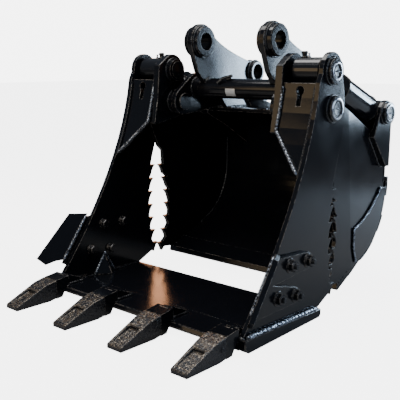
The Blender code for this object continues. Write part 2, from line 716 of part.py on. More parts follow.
def make_adapter(name, centre):
    """Weld-on adapter: a block before the lip, a leg on top of it and a nose inside the tooth."""
    block = [(TOOTH_LENGTH + 0.001, 0.003), (0.236, 0.005), (EDGE_FRONT - GAP * 2, 0.0292),
             (EDGE_FRONT + 0.0095, EDGE_TOP + GAP), (0.275, EDGE_TOP + GAP), (0.275, 0.096),
             (TOOTH_LENGTH + 0.001, 0.088)]
    obj = plate(name, block, centre - 0.042, centre + 0.042, PAINT, jaw, edge=0)
    leg = [(0.262, EDGE_TOP + GAP), (0.376, EDGE_TOP + GAP), (0.376, 0.056), (0.290, 0.092), (0.262, 0.0955)]
    join(obj, f"{name}_leg", plate_mesh(f"{name}_leg", leg, centre - 0.0205, centre + 0.0205))
    chamfer(obj, 0.004)
    join(obj, f"{name}_nose", nose_mesh(f"{name}_nose", centre, 0.0))


def nose_mesh(name, centre, clearance):
    """The tapered nose, or with clearance the pocket that takes it."""
    bm = bmesh.new()
    bmesh.ops.create_cube(bm, size=1.0)
    front, rear = 0.112 - clearance, TOOTH_LENGTH + 0.004
    for vert in bm.verts:
        at_front = vert.co.y < 0
        half = (0.020 if at_front else 0.030) + clearance
        low, high = (0.014, 0.036) if at_front else (0.012, 0.072)
        level = high + clearance if vert.co.z > 0 else low - clearance
        vert.co = (centre + math.copysign(half, vert.co.x), front if at_front else rear, level)
    return finish_mesh(bm, name)


def make_tooth(name, centre):
    """Cast tooth: a wedge with a flat bottom, a hollow in its top and a pocket for the nose."""
    outline = [(0.0, 0.0), (0.170, 0.0), (TOOTH_LENGTH, 0.006), (TOOTH_LENGTH, TOOTH_HEIGHT),
               (0.150, 0.078), (0.0, 0.018)]
    mesh = plate_mesh(name, outline, centre - TOOTH_WIDTH / 2, centre + TOOTH_WIDTH / 2)
    for vert in mesh.vertices:
        width = TIP_WIDTH + (TOOTH_WIDTH - TIP_WIDTH) * vert.co.y / TOOTH_LENGTH
        vert.co.x = centre + (vert.co.x - centre) * width / TOOTH_WIDTH
    obj = add_object(name, mesh, "cast_steel", jaw)
    hollow = box_mesh(f"{name}_hollow", (centre - 0.027, 0.020, 0.0), (centre + 0.027, 0.108, 0.030))
    slope = 0.3
    for vert in hollow.vertices:
        vert.co.z += 0.014 + slope * vert.co.y
    join(obj, f"{name}_hollow", hollow, "DIFFERENCE")
    chamfer(obj, 0.003)
    join(obj, f"{name}_pocket", nose_mesh(f"{name}_pocket", centre, 0.0006), "DIFFERENCE")


# ---------------------------------------------------------------- cylinders

def along_cylinder(distance, side):
    """A point on the cylinder's axis, a distance from its rear pin."""
    rear = Vector((side * CYLINDER_X, *CYLINDER_PIN))
    front = Vector((side * CYLINDER_X, *ROD_PIN))
    return rear + (front - rear).normalized() * distance


def cylinder_eye(target, name, centre, side):
    x_from, x_to = CYLINDER_X - EYE_HALF_WIDTH, CYLINDER_X + EYE_HALF_WIDTH
    low, high = sorted((side * x_from, side * x_to))
    join(target, name, rod_mesh(name, (low, *centre), (high, *centre), EYE_R, BARREL_SEGMENTS))


def make_cylinder(label, side):
    barrel_pivot = add_empty(f"cylinder_pivot_{label}", (side * CYLINDER_X, *CYLINDER_PIN))

    def bar(name, start, stop, radius):
        return rod_mesh(name, along_cylinder(start, side), along_cylinder(stop, side), radius, BARREL_SEGMENTS)

    name = f"cylinder_barrel_{label}"
    barrel = add_object(name, bar(name, BARREL_START, GLAND_END, BARREL_R), PAINT, barrel_pivot)
    cylinder_eye(barrel, f"{name}_eye", CYLINDER_PIN, side)
    join(barrel, f"{name}_chamber", bar(f"{name}_chamber", *CHAMBER, CHAMBER_R), "DIFFERENCE")
    join(barrel, f"{name}_gland", bar(f"{name}_gland", CHAMBER[1] - 0.01, GLAND_END + 0.01, ROD_R + 0.001),
         "DIFFERENCE")
    bore(barrel, CYLINDER_PIN, CYLINDER_PIN_R + 0.0005, 0.36, 0.51, side)
    smooth(barrel)

    name = f"cylinder_rod_{label}"
    length = math.dist(CYLINDER_PIN, ROD_PIN)
    rod = add_object(name, bar(name, PISTON[0] + 0.005, length - EYE_R + 0.012, ROD_R), "chrome_rod", barrel_pivot)
    join(rod, f"{name}_piston", bar(f"{name}_piston", *PISTON, CHAMBER_R - 0.0006))
    cylinder_eye(rod, f"{name}_eye", ROD_PIN, side)
    bore(rod, ROD_PIN, ROD_EYE_BORE_R, 0.36, 0.51, side)
    smooth(rod)


for item in list(bpy.data.objects):
    bpy.data.objects.remove(item, do_unlink=True)
bucket = new_collection("clamshell_bucket")
cutters = new_collection("cutters")
materials = make_materials()
jaw = add_empty("jaw_hinge", (0.0, *HINGE))
make_back_shell()
make_jaw()
for cylinder_label, cylinder_side in SIDES.items():
    make_cylinder(cylinder_label, cylinder_side)
for item in [*bucket.objects, *cutters.objects]:
    if item.parent is None:
        item.location.y -= MIDDLE_Y
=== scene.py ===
"""Looks for the clamshell excavator bucket: gloss paint, cast teeth, welds, bolts, pins and oil lines.

Metres, in the CAD's own frame. `at` places a point by its distance behind the tooth tips.
"""
import json
import math

import bmesh
import bpy
from mathutils import Matrix, Vector


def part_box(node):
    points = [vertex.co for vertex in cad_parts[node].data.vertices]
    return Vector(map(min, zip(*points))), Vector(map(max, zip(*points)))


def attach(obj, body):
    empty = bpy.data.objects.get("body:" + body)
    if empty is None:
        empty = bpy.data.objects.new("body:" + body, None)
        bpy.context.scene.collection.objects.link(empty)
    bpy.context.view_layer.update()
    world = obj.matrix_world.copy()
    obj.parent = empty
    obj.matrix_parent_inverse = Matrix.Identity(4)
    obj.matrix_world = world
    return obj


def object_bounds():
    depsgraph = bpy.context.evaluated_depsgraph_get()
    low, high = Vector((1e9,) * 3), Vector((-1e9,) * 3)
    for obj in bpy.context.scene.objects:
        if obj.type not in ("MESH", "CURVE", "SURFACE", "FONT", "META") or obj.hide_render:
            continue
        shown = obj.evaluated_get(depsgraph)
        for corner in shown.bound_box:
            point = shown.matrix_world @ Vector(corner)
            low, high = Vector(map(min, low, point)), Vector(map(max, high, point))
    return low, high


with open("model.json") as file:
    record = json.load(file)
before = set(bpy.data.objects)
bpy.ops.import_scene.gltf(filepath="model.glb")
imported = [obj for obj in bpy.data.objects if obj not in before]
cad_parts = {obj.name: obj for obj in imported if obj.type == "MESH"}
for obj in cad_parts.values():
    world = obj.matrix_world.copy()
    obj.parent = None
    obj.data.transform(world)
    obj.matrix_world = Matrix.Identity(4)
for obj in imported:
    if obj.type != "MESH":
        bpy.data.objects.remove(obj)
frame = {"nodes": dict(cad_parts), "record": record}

CAD_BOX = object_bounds()
FRONT = CAD_BOX[0].y
SIDES = {"right": 1, "left": -1}
PAINT = "gloss_black_paint"
CAST = "cast_steel"
STEEL = "pin_steel"
CHROME = "chrome_rod"


def at(x, y, z):
    return Vector((x, FRONT + y, z))


def span(node):
    """A CAD node's box, with Y measured from the tooth tips."""
    low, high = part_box(node)
    return Vector((low.x, low.y - FRONT, low.z)), Vector((high.x, high.y - FRONT, high.z))


def middle(node):
    low, high = span(node)
    return (low + high) / 2


# ---------------------------------------------------------------- materials

class Nodes:
    """A short way to write a material's node tree."""

    def __init__(self, name):
        self.material = bpy.data.materials.new(name)
        self.material.use_nodes = True
        self.tree = self.material.node_tree
        self.shader = self.tree.nodes["Principled BSDF"]
        self.place = self.add("ShaderNodeTexCoord").outputs["Object"]

    def add(self, kind, **settings):
        node = self.tree.nodes.new(kind)
        for key, value in settings.items():
            setattr(node, key, value)
        return node

    def put(self, socket, value):
        if isinstance(value, bpy.types.NodeSocket):
            self.tree.links.new(value, socket)
        else:
            socket.default_value = value

    def noise(self, scale, detail=3.0, roughness=0.5, stretch=None):
        node = self.add("ShaderNodeTexNoise")
        place = self.place
        if stretch:
            mapping = self.add("ShaderNodeMapping")
            self.put(mapping.inputs["Vector"], place)
            mapping.inputs["Scale"].default_value = stretch
            place = mapping.outputs["Vector"]
        self.put(node.inputs["Vector"], place)
        node.inputs["Scale"].default_value = scale
        node.inputs["Detail"].default_value = detail
        node.inputs["Roughness"].default_value = roughness
        return node.outputs["Fac"]

    def ramp(self, value, low, high, to_low=0.0, to_high=1.0):
        node = self.add("ShaderNodeMapRange")
        for key, number in zip(("From Min", "From Max", "To Min", "To Max"), (low, high, to_low, to_high)):
            node.inputs[key].default_value = number
        self.put(node.inputs["Value"], value)
        return node.outputs["Result"]

    def math(self, operation, a, b):
        node = self.add("ShaderNodeMath", operation=operation)
        self.put(node.inputs[0], a)
        self.put(node.inputs[1], b)
        return node.outputs[0]

    def mix(self, factor, a, b):
        node = self.add("ShaderNodeMix", data_type="RGBA")
        self.put(node.inputs["Factor"], factor)
        for socket, colour in (("A", a), ("B", b)):
            slot = next(s for s in node.inputs if s.name == socket and s.type == "RGBA")
            self.put(slot, colour if isinstance(colour, bpy.types.NodeSocket) else (*colour, 1.0))
        return next(s for s in node.outputs if s.type == "RGBA")

    def bump(self, height, distance, strength=1.0, normal=None):
        node = self.add("ShaderNodeBump")
        node.inputs["Strength"].default_value = strength
        node.inputs["Distance"].default_value = distance
        self.put(node.inputs["Height"], height)
        if normal is not None:
            self.put(node.inputs["Normal"], normal)
        return node.outputs["Normal"]

    def edges(self, radius, sharpness):
        """Near 1 on sharp edges and 0 on flat plate, with the rounded normal to shade them by."""
        bevel = self.add("ShaderNodeBevel", samples=4)
        bevel.inputs["Radius"].default_value = radius
        flat = self.add("ShaderNodeNewGeometry").outputs["Normal"]
        dot = self.add("ShaderNodeVectorMath", operation="DOT_PRODUCT")
        self.put(dot.inputs[0], bevel.outputs["Normal"])
        self.put(dot.inputs[1], flat)
        return self.ramp(dot.outputs["Value"], 1.0, sharpness), bevel.outputs["Normal"]

    def finish(self, colour, roughness, normal=None, metallic=0.0, **fixed):
        self.put(self.shader.inputs["Base Color"], colour if isinstance(colour, bpy.types.NodeSocket)
                 else (*colour, 1.0))
        self.put(self.shader.inputs["Roughness"], roughness)
        self.put(self.shader.inputs["Metallic"], metallic)
        if normal is not None:
            self.put(self.shader.inputs["Normal"], normal)
        for key, value in fixed.items():
            self.shader.inputs[key.replace("_", " ")].default_value = value
        return self.material


def gloss_paint():
    """Black gloss over plate: orange peel, slow waves, and thin edges lightened partly as worn paint and
    partly as painted highlight.
    """
    n = Nodes("black_gloss_plate")
    edge, rounded = n.edges(0.0030, 0.93)
    # The lighter colour on sharp edges is partly worn paint and partly a painted highlight along the edges.
    worn_and_highlit_edges = n.math("MULTIPLY", edge, n.ramp(n.noise(60.0, 4.0), 0.42, 0.56))
    colour = n.mix(worn_and_highlit_edges, (0.0028, 0.0033, 0.0048), (0.20, 0.175, 0.15))
    rough = n.ramp(n.noise(7.0, 4.0, 0.6), 0.3, 0.7, 0.11, 0.20)
    waves = n.bump(n.noise(5.0, 1.0), 0.0030, 0.35, rounded)
    peel = n.bump(n.noise(420.0, 2.0), 0.00016, 0.55, waves)
    return n.finish(colour, rough, peel, Specular_IOR_Level=0.32)


def weld_paint():
    """Black gloss over a bead, rougher than over plate."""
    n = Nodes("black_gloss_weld")
    grain = n.noise(260.0, 3.0)
    rough = n.ramp(n.noise(40.0, 3.0), 0.3, 0.7, 0.16, 0.34)
    return n.finish((0.0055, 0.0058, 0.0070), rough, n.bump(grain, 0.0006, 0.6), Specular_IOR_Level=0.55)


def bright_weld():
    """A lighter copy of the weld paint for beads that look lit: its silver patches on the ripples are painted
    highlight.
    """
    n = Nodes("weld_with_painted_highlight")
    grain = n.noise(230.0, 3.0)
    # The silver patches mixed into the colour are painted highlight on the ripples.
    painted_sheen_patches = n.ramp(n.noise(120.0, 3.0), 0.42, 0.58)
    colour = n.mix(painted_sheen_patches, (0.018, 0.020, 0.026), (0.30, 0.33, 0.38))
    return n.finish(colour, n.ramp(grain, 0.3, 0.7, 0.18, 0.34), n.bump(grain, 0.0012, 0.9), 0.75)


def bright_ring():
    """Machined steel rings at the pin ends."""
    n = Nodes("machined_ring")
    turning = n.noise(35.0, 3.0)
    colour = n.mix(n.ramp(turning, 0.35, 0.65), (0.26, 0.27, 0.30), (0.56, 0.57, 0.60))
    rough = n.ramp(turning, 0.3, 0.7, 0.22, 0.36)
    return n.finish(colour, rough, n.bump(n.noise(300.0, 2.0), 0.0002, 0.4), 0.9)


def cast_teeth():
    """Rough cast steel under thin black paint, with a painted warm brown reflection on faces that point up,
    and painted glints and rim highlights there.
    """
    n = Nodes("cast_steel_painted_sheen")
    edge, rounded = n.edges(0.003, 0.85)
    facing = n.add("ShaderNodeSeparateXYZ")
    n.put(facing.inputs[0], n.add("ShaderNodeNewGeometry").outputs["Normal"])
    up = n.ramp(facing.outputs["Z"], 0.35, 0.85)
    # Brown patches on faces that point up are a painted warm reflection.
    patches = n.ramp(n.noise(60.0, 6.0, 0.72), 0.49, 0.57)
    glints = n.ramp(n.noise(130.0, 5.0, 0.70), 0.585, 0.625)
    painted_sheen_patches = n.math("MULTIPLY", up, patches)
    # Bright metallic spots and top rims on faces that point up are painted glints and highlights.
    bright = n.math("MULTIPLY", up, n.math("MAXIMUM", glints, n.math("MULTIPLY", edge, 0.8)))
    colour = n.mix(painted_sheen_patches, (0.0034, 0.0040, 0.0066), (0.052, 0.037, 0.024))
    colour = n.mix(bright, colour, (0.52, 0.44, 0.34))
    rough = n.ramp(n.noise(70.0, 5.0, 0.6), 0.35, 0.65, 0.14, 0.34)
    lumps = n.bump(n.noise(58.0, 5.0, 0.65), 0.0060, 0.8, rounded)
    fine = n.bump(n.noise(300.0, 3.0), 0.0008, 0.7, lumps)
    return n.finish(colour, rough, fine, n.math("MULTIPLY", bright, 0.7), Specular_IOR_Level=0.40)


def pin_end():
    """Machined steel under black paint, a little worn on its faces and edges."""
    n = Nodes("painted_pin_steel")
    edge, rounded = n.edges(0.0018, 0.90)
    worn = n.ramp(n.noise(90.0, 4.0), 0.46, 0.62)
    colour = n.mix(n.math("MULTIPLY", worn, 0.25), (0.0050, 0.0056, 0.0070), (0.060, 0.060, 0.064))
    colour = n.mix(edge, colour, (0.045, 0.045, 0.050))
    rough = n.ramp(n.noise(50.0, 4.0), 0.3, 0.7, 0.24, 0.36)
    return n.finish(colour, rough, n.bump(n.noise(300.0, 2.0), 0.0004, 0.6, rounded), 0.0,
                    Specular_IOR_Level=0.20)


def chrome():
    """Hard chrome with faint scratches along the stroke; the eye at the rod's end is painted black."""
    n = Nodes("hard_chrome")
    scratch = n.noise(60.0, 4.0, 0.6, (14.0, 1.0, 1.0))
    apart = n.add("ShaderNodeSeparateXYZ")
    n.put(apart.inputs[0], n.place)
    across = n.math("SUBTRACT", apart.outputs["Y"], EYE_CENTRE.y)
    above = n.math("SUBTRACT", apart.outputs["Z"], EYE_CENTRE.z)
    squares = n.math("ADD", n.math("MULTIPLY", across, across), n.math("MULTIPLY", above, above))
    bare = n.ramp(n.math("SQRT", squares, 0.0), 0.0625, 0.0635)
    film = n.ramp(n.noise(20.0, 4.0), 0.45, 0.7)
    colour = n.mix(film, (0.50, 0.51, 0.53), (0.36, 0.35, 0.34))
    colour = n.mix(bare, (0.0040, 0.0045, 0.0060), colour)
    rough = n.math("ADD", n.ramp(scratch, 0.35, 0.7, 0.05, 0.15), n.ramp(bare, 0.0, 1.0, 0.12, 0.0))
    return n.finish(colour, rough, n.bump(scratch, 0.0001, 0.3), bare)


def plate_blank():
    """A small blank rating plate in bare aluminium."""
    n = Nodes("blank_plate")
    grain = n.noise(30.0, 3.0, 0.6, (1.0, 30.0, 30.0))
    colour = n.mix(n.ramp(grain, 0.3, 0.7), (0.62, 0.63, 0.64), (0.78, 0.79, 0.80))
    return n.finish(colour, n.ramp(grain, 0.3, 0.7, 0.28, 0.42), None, 0.6)


EYE_CENTRE = (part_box("rod_pin_right")[0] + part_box("rod_pin_right")[1]) / 2
LOOKS = {PAINT: gloss_paint(), CAST: cast_teeth(), STEEL: pin_end(), CHROME: chrome()}
WELD = weld_paint()
# The lit copy of the weld paint; its silver is painted highlight.
PAINTED_HIGHLIGHT_WELD = bright_weld()
BRIGHT_RING = bright_ring()
BLANK = plate_blank()
for name, node in frame["nodes"].items():
    slot_name = next(part["material_slot"] for part in frame["record"]["subparts"] if part["node"] == name)
    node.material_slots[0].material = LOOKS[slot_name]


# ---------------------------------------------------------------- piece helpers

def add_piece(name, data, body, material, location=None):
    piece = bpy.data.objects.new(name, data)
    bpy.context.scene.collection.objects.link(piece)
    if location is not None:
        piece.location = location
    data.materials.append(material)
    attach(piece, body)
    return piece


def resample(points, step):
    """The same path with points every `step` metres."""
    points = [Vector(p) for p in points]
    result = [points[0]]
    for a, b in zip(points, points[1:]):
        count = max(1, round((b - a).length / step))
        result += [a.lerp(b, i / count) for i in range(1, count + 1)]
    return result


def line_curve(name, points, radius, swell=None, cyclic=False, resolution=2):
    curve = bpy.data.curves.new(name, "CURVE")
    curve.dimensions = "3D"
    curve.bevel_depth = radius
    curve.bevel_resolution = resolution
    curve.use_fill_caps = True
    spline = curve.splines.new("POLY")
    spline.points.add(len(points) - 1)
    for i, (point, place) in enumerate(zip(spline.points, points)):
        point.co = (*place, 1.0)
        point.radius = swell(i, len(points)) if swell else 1.0
    spline.use_cyclic_u = cyclic
    spline.use_smooth = True
    return curve


def bead(name, points, body, radius=0.0055, cyclic=False, look=None):
    """A weld bead: a run of overlapping ripples, thin where it starts and stops."""
    pitch = radius * 0.62

    def swell(i, count):
        end = 1.0 if cyclic else min(1.0, 0.45 + 0.25 * min(i, count - 1 - i))
        return end * (1.0, 0.90, 0.78)[i % 3] * (1.0 + 0.06 * math.sin(i * 1.7))

    path = resample(points, pitch)
    if cyclic:
        path = path[:-1]
    curve = line_curve(name, path, radius, swell, cyclic, resolution=1)
    return add_piece(name, curve, body, look or WELD)


def circle(centre, radius, steps=40):
    """A closed path round a centre in a plane across X; the last point repeats the first."""
    across, up = Vector((0, 1, 0)), Vector((0, 0, 1))
    turns = [2 * math.pi * i / steps for i in range(steps + 1)]
    return [Vector(centre) + radius * (math.cos(t) * across + math.sin(t) * up) for t in turns]


def mesh_from(bm, name):
    mesh = bpy.data.meshes.new(name)
    bm.to_mesh(mesh)
    bm.free()
    return mesh


def turn_to(bm, axis):
    """Turns everything in the bmesh so that its +Z lies along `axis`."""
    turn = Vector(axis).to_track_quat("Z", "Y").to_matrix().to_4x4()
    bmesh.ops.transform(bm, matrix=turn, verts=bm.verts)


def turned_mesh(name, profile, axis, segments=28):
    """A solid of revolution from (radius, height) points, with its height along `axis`."""
    bm = bmesh.new()
    ring = [bm.verts.new((radius, 0.0, height)) for radius, height in profile]
    edges = [bm.edges.new(pair) for pair in zip(ring, ring[1:])]
    bmesh.ops.spin(bm, geom=ring + edges, axis=(0, 0, 1), cent=(0, 0, 0), angle=math.tau, steps=segments,
                   use_duplicate=False)
    bmesh.ops.remove_doubles(bm, verts=bm.verts, dist=0.00002)
    bmesh.ops.recalc_face_normals(bm, faces=bm.faces)
    turn_to(bm, axis)
    mesh = mesh_from(bm, name)
    mesh.shade_smooth()
    mesh.set_sharp_from_angle(angle=math.radians(35))
    return mesh


def turned(name, profile, place, axis, body, material, segments=28):
    return add_piece(name, turned_mesh(name, profile, axis, segments), body, material, place)


def hex_bolt(name, place, axis, body, size=0.024, height=0.013):
    """A hexagon head with a domed chamfer on a washer; size is across the flats."""
    bm = bmesh.new()
    corner = size / math.sqrt(3)
    washer = 0.004
    bmesh.ops.create_cone(bm, cap_ends=True, segments=32, radius1=corner * 1.28, radius2=corner * 1.22,
                          depth=washer, matrix=Matrix.Translation((0, 0, washer / 2)))
    bmesh.ops.create_cone(bm, cap_ends=True, segments=6, radius1=corner, radius2=corner, depth=height * 0.8,
                          matrix=Matrix.Translation((0, 0, washer + height * 0.4)))
    bmesh.ops.create_cone(bm, cap_ends=True, segments=6, radius1=corner, radius2=corner * 0.84,
                          depth=height * 0.2, matrix=Matrix.Translation((0, 0, washer + height * 0.9)))
    turn_to(bm, axis)
    return add_piece(name, mesh_from(bm, name), body, LOOKS[PAINT], place)


# ---------------------------------------------------------------- plate positions, from the CAD nodes

def outer_x(node):
    return span(node)[1].x


def inner_x(node):
    return span(node)[0].x


JAW_OUT = outer_x("jaw_side_plate_right")
JAW_IN = inner_x("jaw_side_plate_right")
SHELL_OUT = outer_x("shell_side_plate_right")
SHELL_IN = SHELL_OUT - (JAW_OUT - JAW_IN)
FLANGE_OUT = JAW_OUT + 0.020
FLOOR_TOP = span("jaw_floor")[1].z
EDGE_TOP = span("cutting_edge")[1].z
EDGE_REAR = span("cutting_edge")[1].y
TOP_PLATE_Z = span("top_plate")[1].z
HINGE = middle("hinge_boss_right").yz
ROD_PIN = middle("rod_boss_right").yz
CYLINDER_PIN = middle("cylinder_pin_right").yz
TUBE = middle("torque_tube").yz
TUBE_R = 0.046
HANGER_FRONT = middle("hanger_boss_front_right").yz
HANGER_REAR = middle("hanger_boss_rear_right").yz
HANGER_IN, HANGER_OUT = inner_x("hanger_plate_right"), outer_x("hanger_plate_right")
HANGER_FRONT_R = (span("hanger_boss_front_right")[1].z - span("hanger_boss_front_right")[0].z) / 2
HEEL_CENTRE = Vector((1.110, 0.470))
HEEL_R = 0.340
WRAP_PLATE = 0.016
LIP_TOP = ((1.018, 0.078), (1.116, 0.109))
CREASE = (Vector((1.047, 0.764)), Vector((1.098, 0.311)))
TAPER = 0.0524
EAR_PLATE = (0.268, 0.293)
HANGER_REAR_R = 0.056
CYLINDER_X = 0.436
CYLINDER_PIN_FACE = 0.5425
BOSS_FACE = JAW_OUT + 0.020
HINGE_PIN_R = 0.034
ROD_PIN_R = 0.028
CYLINDER_PIN_R = 0.030
SEAT = 0.003  # how far a bead's middle stands off its corner
BACK_SEAM_Y = HEEL_CENTRE.x + HEEL_R - WRAP_PLATE
CUTTER_BOLTS = ((0.549, 0.274), (0.672, 0.267), (0.471, 0.162), (0.590, 0.146))
WEAR_BAR_EDGES = ((-12.2, 5.2), (-41.2, -24.8), (-63.2, -47.8))
ARM_EDGE = ((0.753, 0.950), (0.690, 0.540), (0.285, 0.0556))


def lean(y, z):
    """How far the tapered side lies inside its front plane at a point."""
    run = (CREASE[1] - CREASE[0]).normalized()
    depth = -run.y * (y - CREASE[0].x) + run.x * (z - CREASE[0].y)
    return max(0.0, depth) * TAPER


def quadratic(start, control, stop, steps, t_from=0.0, t_to=1.0):
    start, control, stop = Vector(start), Vector(control), Vector(stop)
    turns = [t_from + (t_to - t_from) * i / steps for i in range(steps + 1)]
    return [(1 - t) ** 2 * start + 2 * t * (1 - t) * control + t * t * stop for t in turns]


def heel_arc(radius, start, stop, steps=16):
    turns = [math.radians(start + (stop - start) * i / steps) for i in range(steps + 1)]
    return [HEEL_CENTRE + radius * Vector((math.cos(t), math.sin(t))) for t in turns]


def ring_line(x, centre, radius, steps=40):
    return circle(at(x, *centre), radius, steps)


# ---------------------------------------------------------------- weld beads

def weld_jaw(label, side):
    """Round the arm's box, the bosses, the shoe, the blade and the inside corners of one side."""
    face = [Vector((y + SEAT, z)) for y, z in quadratic(*ARM_EDGE, 10, 0.02, 0.42)]
    corner = [at(side * 0.361, y, z) for y, z in face if z > 0.765]
    slant = [at(side * (0.362 + (JAW_IN - 0.008 - 0.362) * t), y, 0.757 - 0.152 * t) for t, y in
             ((i / 6, 0.711 - 0.066 * i / 6) for i in range(7))]
    # The corner, shoe and blade beads take the lit weld copy, whose brightness is painted highlight.
    bead(f"arm_corner_weld_{label}", corner + slant, "jaw", 0.0085, look=PAINTED_HIGHLIGHT_WELD)
    inside = side * (JAW_IN - SEAT)
    bead(f"arm_outer_weld_{label}", [at(inside, y, z) for y, z in face], "jaw", 0.0060)
    shoe = side * (JAW_OUT + 0.0085)
    bead(f"shoe_weld_{label}", [at(shoe, 0.300, 0.0570), at(shoe, 0.775, 0.0380)], "jaw", 0.0125,
         look=PAINTED_HIGHLIGHT_WELD)
    nose = [at(side * (JAW_OUT + 0.008), 0.284, 0.056), at(side * JAW_OUT, 0.279, 0.057),
            at(side * (JAW_IN + 0.002), 0.280, 0.057)]
    bead(f"shoe_nose_weld_{label}", nose, "jaw", 0.0085)
    root = [at(side * (JAW_OUT + SEAT), 0.464 - 0.142 * t, 0.324 - 0.190 * t)
            for t in (0.0, 0.33, 0.66, 1.0)]
    bead(f"blade_weld_{label}", root, "jaw", 0.0075, look=PAINTED_HIGHLIGHT_WELD)
    floor, edge = FLOOR_TOP + SEAT, EDGE_TOP + SEAT
    bead(f"floor_side_weld_{label}", [at(inside, EDGE_REAR + 0.006, floor), at(inside, 0.780, floor)],
         "jaw", 0.0065)
    bead(f"edge_side_weld_{label}", [at(inside, 0.292, edge), at(inside, EDGE_REAR, edge)], "jaw", 0.0065)
    arm_out = max(abs(corner.x) for corner in span(f"arm_inner_plate_{label}"))
    bead(f"arm_back_weld_{label}", [at(side * arm_out + side * SEAT, 0.739 + 0.006, z)
                                    for z in (0.780, 0.860, 0.930)], "jaw", 0.0045)
    for kind, centre in (("hinge", HINGE), ("rod", ROD_PIN)):
        outer = ring_line(side * (JAW_OUT + 0.002), centre, 0.0535)
        inner = ring_line(side * 0.322, centre, 0.0525)
        bead(f"{kind}_boss_weld_{label}", outer, "jaw", 0.0045, True)
        bead(f"{kind}_arm_boss_weld_{label}", inner, "jaw", 0.0045, True)


def weld_shell(label, side):
    """Round the heel plate, the seams of the bowl, the bracket and the bay floor of one side."""
    def skin(points, off):
        return [at(side * (SHELL_OUT - lean(y, z) + off), y, z) for y, z in points]

    def lining(points, off):
        return [at(side * (SHELL_IN - lean(y, z) - off), y, z) for y, z in points]

    upper = quadratic((1.395, 0.452), (1.270, 0.325), (1.124, 0.302), 10)
    down = [Vector((1.124, 0.216)), Vector((1.155, 0.140))]
    # The heel bead takes the lit weld copy, whose brightness is painted highlight.
    bead(f"heel_weld_{label}", skin(upper + down, 0.006), "rear_shell", 0.0060, look=PAINTED_HIGHLIGHT_WELD)
    bead(f"heel_rim_weld_{label}", skin(heel_arc(HEEL_R - 0.004, -76, -5), 0.006), "rear_shell", 0.0050)
    seam = [*heel_arc(HEEL_R - WRAP_PLATE, 0, 1, 1), Vector((BACK_SEAM_Y, 0.560))]
    bead(f"back_seam_weld_{label}", skin(seam, 0.0), "rear_shell", 0.0045)
    inner_seam = [*heel_arc(HEEL_R - WRAP_PLATE - SEAT, -70, 0), Vector((BACK_SEAM_Y - SEAT, 0.625))]
    bead(f"bowl_seam_weld_{label}", lining(inner_seam, 0.002), "rear_shell", 0.0078)
    lip = [Vector(LIP_TOP[0]) + Vector((0.0, 0.004)), Vector(LIP_TOP[1]) + Vector((0.0, 0.002))]
    bead(f"lip_seam_weld_{label}", lining(lip, 0.002), "rear_shell", 0.0055)
    sweep = quadratic((1.372, 0.556), (1.300, 0.640), (1.243, 0.700), 8)
    bead(f"bracket_front_weld_{label}", skin(sweep, 0.002), "rear_shell", 0.0055)
    bead(f"bracket_rear_weld_{label}", skin([Vector((1.408, 0.560)), Vector((1.408, 0.735))], 0.002),
         "rear_shell", 0.0050)
    bead(f"bracket_foot_weld_{label}", skin([Vector((1.374, 0.553)), Vector((1.403, 0.553))], 0.002),
         "rear_shell", 0.0050)
    boss = ring_line(side * 0.5235, CYLINDER_PIN, 0.0515)
    bead(f"cylinder_boss_weld_{label}", boss, "rear_shell", 0.0040, True)
    bay = [Vector((1.090, 0.7965)), Vector((1.260, 0.7250)), Vector((1.428, 0.6520))]
    bead(f"bay_inner_weld_{label}", [at(side * 0.3640, y, z + SEAT) for y, z in bay], "rear_shell", 0.0050)
    raised = [point + Vector((0.0, 0.002)) for point in bay]
    bead(f"bay_side_weld_{label}", lining(raised, SEAT), "rear_shell", 0.0050)


def weld_hangers(label, side):
    """Round a hanger plate's foot, tube and bosses, and the feet of the inner ear and the rib."""
    level = TOP_PLATE_Z + SEAT
    bosses = (("front", HANGER_FRONT, HANGER_FRONT_R), ("rear", HANGER_REAR, HANGER_REAR_R))
    for name, x in (("in", HANGER_IN - SEAT), ("out", HANGER_OUT + SEAT)):
        bead(f"hanger_foot_{name}_weld_{label}", [at(side * x, 1.090, level), at(side * x, 1.418, level)],
             "rear_shell", 0.0070)
        around = [TUBE + 0.048 * Vector((math.cos(t), math.sin(t)))
                  for t in (math.radians(-12 + 160 * i / 20) for i in range(21))]
        bead(f"hanger_tube_{name}_weld_{label}", [at(side * x, y, z) for y, z in around],
             "rear_shell", 0.0065)
        for kind, centre, radius in bosses:
            bead(f"hanger_{kind}_{name}_weld_{label}", ring_line(side * x, centre, radius + 0.0015),
                 "rear_shell", 0.0050, True)
    for name, x in (("in", EAR_PLATE[0] - SEAT), ("out", EAR_PLATE[1] + SEAT)):
        bead(f"ear_foot_{name}_weld_{label}", [at(side * x, 1.106, level), at(side * x, 1.334, level)],
             "rear_shell", 0.0060)
    tube_end = ring_line(side * (EAR_PLATE[0] - SEAT), TUBE, TUBE_R + 0.002)
    bead(f"tube_end_weld_{label}", tube_end, "rear_shell", 0.0065, True)
    bead(f"rib_foot_weld_{label}", [at(side * 0.018, 1.106, level), at(side * 0.018, 1.272, level)],
         "rear_shell", 0.0055)


def weld_across():
    """The long seams from side to side."""
    half = JAW_IN - 0.010
    step, floor = EDGE_REAR + 0.004, FLOOR_TOP + 0.004
    bead("edge_step_weld", [at(-half, step, floor), at(half, step, floor)], "jaw", 0.0075)
    bead("lip_step_weld", [at(-0.470, 1.117, 0.101), at(0.470, 1.117, 0.101)], "rear_shell", 0.0060)
    back, under = BACK_SEAM_Y - SEAT, TOP_PLATE_Z - 0.0235
    bead("top_under_weld", [at(-0.310, back, under), at(0.310, back, under)], "rear_shell", 0.0060)
    for number, angles in enumerate(WEAR_BAR_EDGES, 1):
        for place, angle in zip(("low", "high"), angles):
            y, z = heel_arc(HEEL_R + 0.002, angle, angle + 1, 1)[0]
            bead(f"wear_bar_{number}_{place}_weld", [at(-0.480, y, z), at(0.480, y, z)], "rear_shell", 0.0060)


